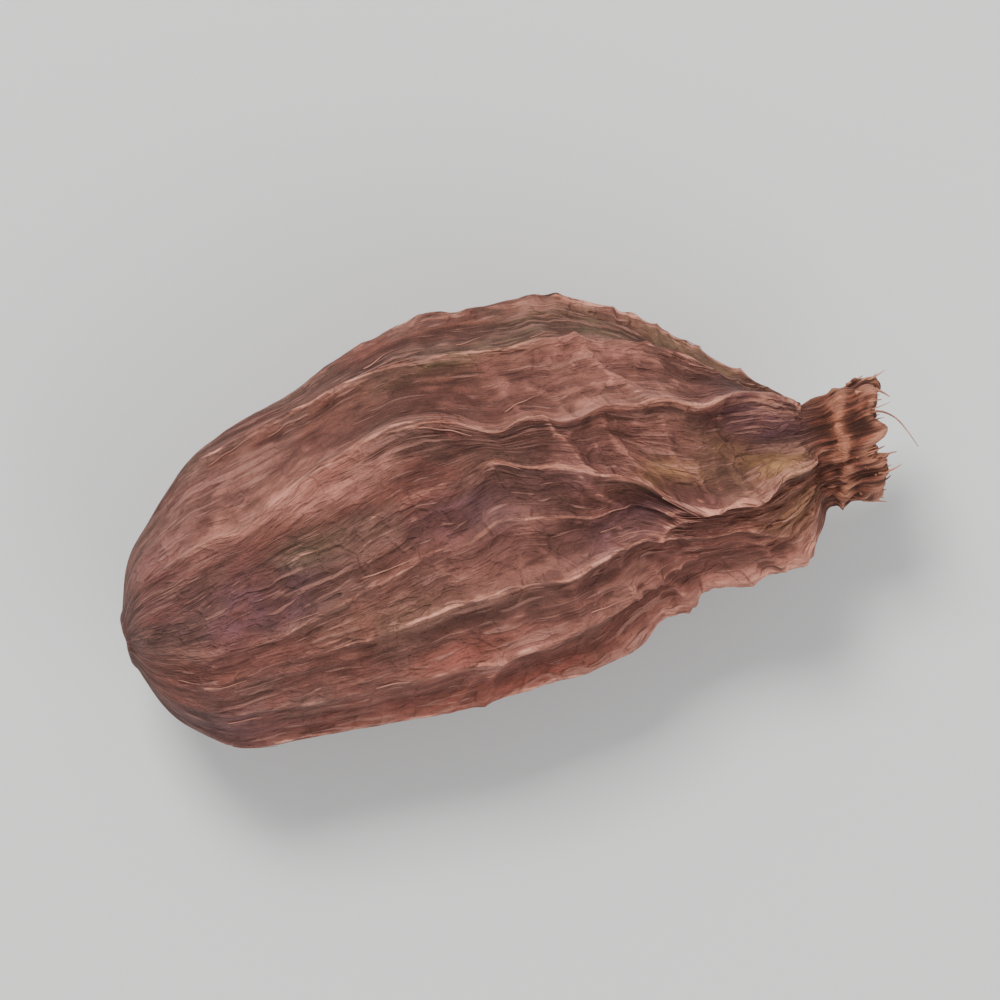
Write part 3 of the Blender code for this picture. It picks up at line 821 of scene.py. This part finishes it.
def husk_material(grain_group):
    """Smoked, dried husk: red-brown fibre, pale along its crests from wear and a painted highlight, darkened as
    painted shade in its valleys, pits, under its leaning crests and inside the stub's open end, orange at its stub.
    """
    material, tree, surface = new_material("smoked_husk")
    space = attribute(tree, "fibre_space", "Vector")
    raised, valley, edge = attribute(tree, "raised"), attribute(tree, "valley"), attribute(tree, "edge")
    fold, stub, scar = attribute(tree, "fold"), attribute(tree, "stub"), attribute(tree, "scar")
    rim, ring, cup_shade = attribute(tree, "rim"), attribute(tree, "ring"), attribute(tree, "cup_shade")
    grain = add_node(tree, "ShaderNodeGroup", node_tree=grain_group)
    tree.links.new(space, grain.inputs["Fibre Space"])
    streaks = ranged(tree, grain.outputs["Streaks"], 0.36, 0.64)
    mottle = ranged(tree, grain.outputs["Mottle"], 0.34, 0.66)

    cork_noise = add_node(tree, "ShaderNodeTexNoise")
    cork_noise.inputs["Scale"].default_value = 2600.0
    cork_noise.inputs["Detail"].default_value = 4.0
    tree.links.new(add_node(tree, "ShaderNodeTexCoord").outputs["Object"], cork_noise.inputs["Vector"])
    cork = ranged(tree, cork_noise.outputs["Fac"], 0.38, 0.60)
    uneven = ranged(tree, stretched_noise(tree, space, 34, 0.55, detail=4.0, shift=71.0), 0.36, 0.58, 0.40, 1.0)

    def tinted(colour, mask, strength, tint):
        return mix_colours(tree, sum_up(tree, "MULTIPLY", mask, strength), colour, tint)

    def patched(colour, tone, strength, tint):
        return tinted(colour, sum_up(tree, "MULTIPLY", attribute(tree, tone), uneven), strength, tint)

    patches = ranged(tree, stretched_noise(tree, space, 12, 0.28, shift=21.0), 0.40, 0.60)
    red_brown = mix_colours(tree, streaks, (0.166, 0.055, 0.038), (0.262, 0.088, 0.062))
    dull_brown = mix_colours(tree, streaks, (0.137, 0.059, 0.043), (0.226, 0.099, 0.070))
    colour = mix_colours(tree, patches, red_brown, dull_brown)
    # Tone patches: mostly the pod's own mottling, with some lighter patches that lift shaded places, painted
    # highlights, and an olive painted shade
    colour = patched(colour, "olive", 1.0, (0.158, 0.102, 0.048))
    colour = patched(colour, "red", 1.0, (0.290, 0.074, 0.048))
    colour = patched(colour, "rosy", 1.0, (0.330, 0.125, 0.092))
    colour = patched(colour, "purple", 1.0, (0.150, 0.065, 0.080))
    colour = patched(colour, "orange", 1.0, (0.570, 0.225, 0.165))
    colour = patched(colour, "ochre", 1.0, (0.560, 0.285, 0.118))
    light_spots = mix_colours(tree, mottle, (0.66, 0.64, 0.64), (1.26, 1.22, 1.22))
    colour = mix_colours(tree, 1.0, colour, light_spots, "MULTIPLY")
    # Painted shade in the valleys between the ribs and in the low places of the skin
    colour = tinted(colour, valley, 0.08, (0.095, 0.036, 0.036))
    colour = tinted(colour, ranged(tree, raised, -0.20, -1.00), 0.50, (0.065, 0.023, 0.017))
    colour = tinted(colour, grain.outputs["Slits"], 0.30, (0.065, 0.025, 0.019))
    # Pale crests: partly real wear where the crests are rubbed, partly a painted highlight along the crest lines
    # and on the raised knobs
    shreds = stretched_noise(tree, space, 330, 0.95, detail=2.5, shift=45.0)
    rubbed = ranged(tree, stretched_noise(tree, space, 46, 0.40, shift=41.0), 0.40, 0.56, 0.16, 1.0)
    line = sum_up(tree, "ADD", edge, sum_up(tree, "MULTIPLY", sum_up(tree, "SUBTRACT", shreds, 0.5), 2.2))
    wear_and_highlight = sum_up(tree, "MULTIPLY", ranged(tree, line, 0.34, 0.80), rubbed)
    knobs = sum_up(tree, "MULTIPLY", ranged(tree, raised, 0.35, 1.0), ranged(tree, shreds, 0.42, 0.62))
    wear_and_highlight = sum_up(tree, "ADD", wear_and_highlight, sum_up(tree, "MULTIPLY", knobs, 0.40), clamp=True)
    pale = mix_colours(tree, mottle, (0.54, 0.185, 0.125), (0.92, 0.405, 0.280))
    # Painted shadow under each leaning crest, tinted almost to black
    colour = tinted(colour, fold, 0.66, (0.035, 0.012, 0.010))
    colour = tinted(colour, wear_and_highlight, 0.90, pale)
    colour = tinted(colour, grain.outputs["Dashes"], 0.42, (0.56, 0.250, 0.190))
    colour = tinted(colour, scar, 0.80, mix_colours(tree, cork, (0.120, 0.055, 0.036), (0.360, 0.190, 0.125)))

    strands = stretched_noise(tree, space, 70, 0.30, shift=61.0)
    stub_brown = mix_colours(tree, ranged(tree, strands, 0.38, 0.62), (0.080, 0.024, 0.014), (0.37, 0.112, 0.064))
    # Painted shade in the low places between the stub's strands, and a painted highlight on the raised strands
    stub_brown = tinted(stub_brown, ranged(tree, raised, -0.1, -0.9), 0.75, (0.040, 0.013, 0.008))
    stub_brown = tinted(stub_brown, ranged(tree, raised, 0.1, 0.9), 0.70, (0.62, 0.250, 0.160))
    colour = mix_colours(tree, stub, colour, stub_brown)
    knotty = sum_up(tree, "MULTIPLY", ring, ranged(tree, strands, 0.40, 0.58, 0.35, 1.0))
    ring_orange = mix_colours(tree, ranged(tree, strands, 0.40, 0.60), (0.400, 0.115, 0.056), (0.800, 0.310, 0.175))
    colour = tinted(colour, knotty, 0.85, ring_orange)
    # Painted shade inside the stub's open end
    colour = tinted(colour, cup_shade, 0.70, (0.045, 0.017, 0.011))
    torn_rim = sum_up(tree, "MULTIPLY", rim, ranged(tree, strands, 0.42, 0.56, 0.15, 1.0))
    colour = tinted(colour, torn_rim, 0.80, (0.72, 0.290, 0.170))
    tree.links.new(colour, surface.inputs["Base Color"])

    rough = ranged(tree, raised, -0.8, 0.9, 0.88, 0.62)
    rough = sum_up(tree, "ADD", rough, sum_up(tree, "MULTIPLY", sum_up(tree, "SUBTRACT", mottle, 0.5), -0.16), clamp=True)
    rough = sum_up(tree, "SUBTRACT", rough, sum_up(tree, "MULTIPLY", wear_and_highlight, 0.10), clamp=True)
    tree.links.new(rough, surface.inputs["Roughness"])
    surface.inputs["Specular IOR Level"].default_value = 0.40

    speck = stretched_noise(tree, space, 420, 9.0, detail=4.0, roughness=0.65, shift=51.0)
    height = sum_up(tree, "ADD", grain.outputs["Height"], sum_up(tree, "MULTIPLY", speck, 0.30))
    bump = add_node(tree, "ShaderNodeBump")
    bump.inputs["Strength"].default_value = 0.9
    bump.inputs["Distance"].default_value = 0.00034
    tree.links.new(height, bump.inputs["Height"])
    tree.links.new(bump.outputs["Normal"], surface.inputs["Normal"])
    return material


def straw_material(name, dark, light):
    """Bare plant fibre, paler here and there."""
    material, tree, surface = new_material(name)
    place = add_node(tree, "ShaderNodeTexCoord").outputs["Object"]
    noise = add_node(tree, "ShaderNodeTexNoise")
    noise.inputs["Scale"].default_value = 900.0
    noise.inputs["Detail"].default_value = 2.0
    tree.links.new(place, noise.inputs["Vector"])
    colour = mix_colours(tree, ranged(tree, noise.outputs["Fac"], 0.35, 0.65), dark, light)
    tree.links.new(colour, surface.inputs["Base Color"])
    tree.links.new(ranged(tree, noise.outputs["Fac"], 0.3, 0.7, 0.55, 0.75), surface.inputs["Roughness"])
    return material


# The stage

def add_floor():
    mesh = bpy.data.meshes.new("floor")
    half, drop = 1.2, -0.00002
    mesh.from_pydata([(-half, -half, drop), (half, -half, drop), (half, half, drop), (-half, half, drop)], [], [(0, 1, 2, 3)])
    material, _, surface = new_material("pale_floor")
    surface.inputs["Base Color"].default_value = (0.80, 0.79, 0.77, 1.0)
    surface.inputs["Roughness"].default_value = 0.9
    mesh.materials.append(material)
    floor = bpy.data.objects.new("floor", mesh)
    bpy.context.scene.collection.objects.link(floor)


def add_softbox(name, azimuth, elevation, distance, size, power):
    """A square light that faces the pod. Azimuth 0 is the right of the picture and 90 its top."""
    azimuth, elevation = math.radians(azimuth) - PHOTO_TILT, math.radians(elevation)
    level = math.cos(elevation)
    way = Vector((level * math.cos(azimuth), level * math.sin(azimuth), math.sin(elevation)))
    lamp = bpy.data.lights.new(name, "AREA")
    lamp.energy, lamp.size = power, size
    light = bpy.data.objects.new(name, lamp)
    light.location = way * distance
    light.rotation_euler = way.to_track_quat("Z", "Y").to_euler()
    bpy.context.scene.collection.objects.link(light)


def add_lights():
    world = bpy.data.worlds.new("soft_room")
    world.use_nodes = True
    world.node_tree.nodes["Background"].inputs["Color"].default_value = (0.93, 0.96, 1.0, 1.0)
    world.node_tree.nodes["Background"].inputs["Strength"].default_value = 0.56
    bpy.context.scene.world = world
    add_softbox("key", 115, 57, 0.35, 0.11, 1.07)
    add_softbox("fill", -45, 38, 0.40, 0.30, 0.68)


def add_camera():
    lens = bpy.data.cameras.new("camera")
    lens.sensor_width = 36.0
    lens.lens = 36.0 * CAMERA_HEIGHT / FRAME_WIDTH
    lens.clip_start = 0.005
    lens.clip_end = 10.0
    camera = bpy.data.objects.new("camera", lens)
    middle = (cad_low + cad_high) / 2
    camera.location = (middle.x, middle.y, cad_high.z / 2 + CAMERA_HEIGHT)
    camera.rotation_euler = (0.0, 0.0, -PHOTO_TILT)
    bpy.context.scene.collection.objects.link(camera)
    bpy.context.scene.camera = camera


add_camera()
add_lights()
add_floor()
grain_group = fibre_grain_group()
fine_husk = rested_husk()
skin = make_husk(fine_husk, husk_material(grain_group))
straw = straw_material("stub_straw", (0.22, 0.070, 0.036), (0.60, 0.260, 0.150))
pale_straw = straw_material("crest_straw", (0.28, 0.105, 0.072), (0.50, 0.225, 0.160))
fray = fibre_piece("stub_fray", frayed_fibres(fine_husk), straw)
slivers = fibre_piece("crest_slivers", crest_slivers(fine_husk), pale_straw)
for piece in (skin, fray, slivers):
    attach(piece, "root")
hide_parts("pod")
